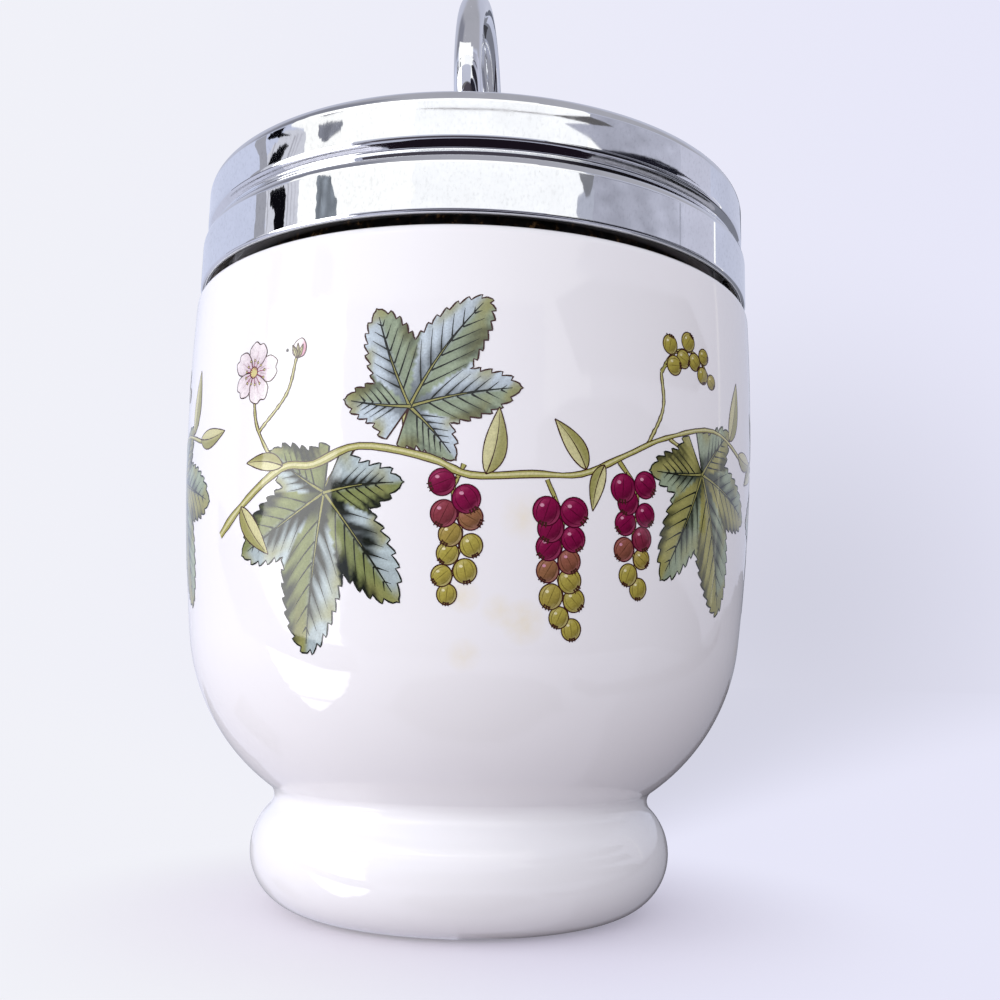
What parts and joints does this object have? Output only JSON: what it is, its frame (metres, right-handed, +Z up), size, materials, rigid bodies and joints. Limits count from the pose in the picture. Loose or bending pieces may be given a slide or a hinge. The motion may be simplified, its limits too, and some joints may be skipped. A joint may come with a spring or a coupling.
{
  "type": "egg coddler",
  "caption": "Footed porcelain egg coddler: a deep white cup with a screw-on metal lid that carries an upright wire lifting ring.",
  "frame": {"origin": "centre of the foot's flat underside", "axes": "+Z up along the cup's axis, and the lifting ring stands in the Y-Z plane"},
  "size_m": [0.0688, 0.0688, 0.1147],
  "materials": {
    "porcelain": "clear gloss glaze with a printed and enamelled fruit spray",
    "plated_sheet": "polished plating on pressed steel sheet",
    "plated_wire": "polished plating on steel wire",
    "plated_stud": "polished plating on a turned steel stud",
    "inner_metal": "dull tinned steel with light tarnish"
  },
  "bodies": {
    "cup": {"cup": "porcelain"},
    "lid_riser": {"backing_washer": "inner_metal"},
    "lid": {"lid_shell": "plated_sheet", "thread_band": "inner_metal", "ring_stud": "plated_stud", "lifting_ring": "plated_wire"}
  },
  "joints": [
    {"name": "lid_rise", "type": "slide", "parent": "cup", "child": "lid_riser", "axis": [0, 0, 1], "range_m": [0, 0.03]},
    {"name": "lid_turn", "type": "hinge", "parent": "lid_riser", "child": "lid", "pos_m": [0, 0, 0.0825], "axis": [0, 0, 1], "range_deg": [0, 2160]}
  ],
  "couplings": [
    {"joint": "lid_rise", "follows": "lid_turn", "m_per_rad": 0.00079577}
  ]
}
